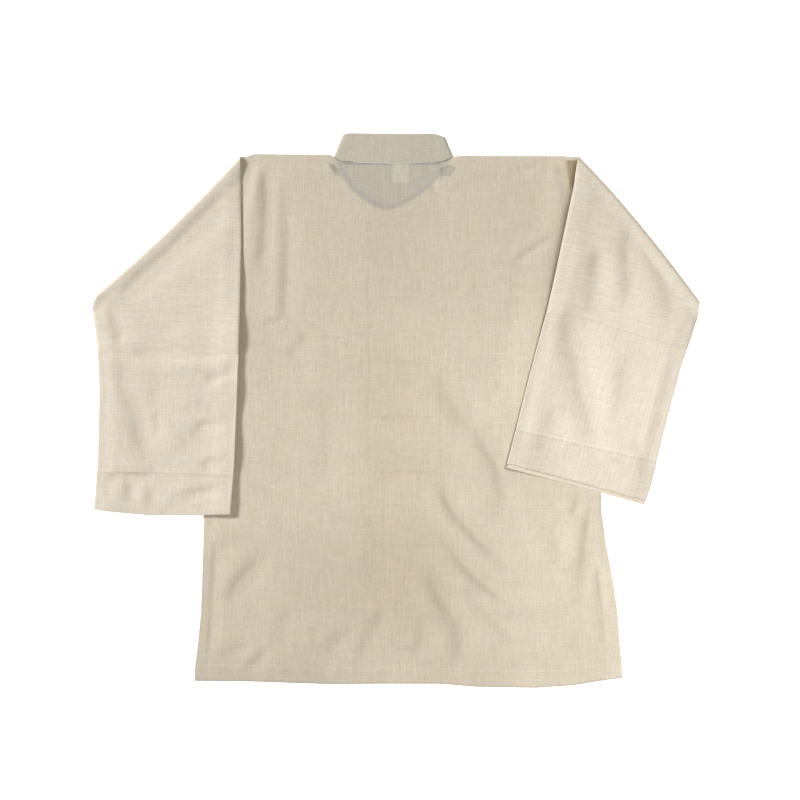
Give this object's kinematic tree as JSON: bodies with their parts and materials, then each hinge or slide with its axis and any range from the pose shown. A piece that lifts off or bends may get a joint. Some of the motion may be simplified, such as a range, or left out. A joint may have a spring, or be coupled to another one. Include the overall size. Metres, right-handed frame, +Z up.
{
  "type": "kung fu jacket",
  "caption": "Unlined stand-collar jacket of slubbed linen, laid flat on its front with both wide sleeves folded down over its back.",
  "frame": {"origin": "the middle of the jacket's own box, on the surface that it lies on", "axes": "+X across the shoulders towards the wearer's right sleeve, +Y from the hem up to the collar, +Z up from the surface"},
  "size_m": [0.8666, 0.7924, 0.01],
  "materials": {
    "linen": "undyed ecru slub linen, plain weave, matt and softly creased",
    "collar_linen": "the same linen, doubled and pressed, a little greyer"
  },
  "bodies": {
    "root": {"back": "linen", "front_left": "linen", "front_right": "linen", "sleeve_left": "linen", "sleeve_right": "linen", "collar": "collar_linen"}
  },
  "joints": []
}
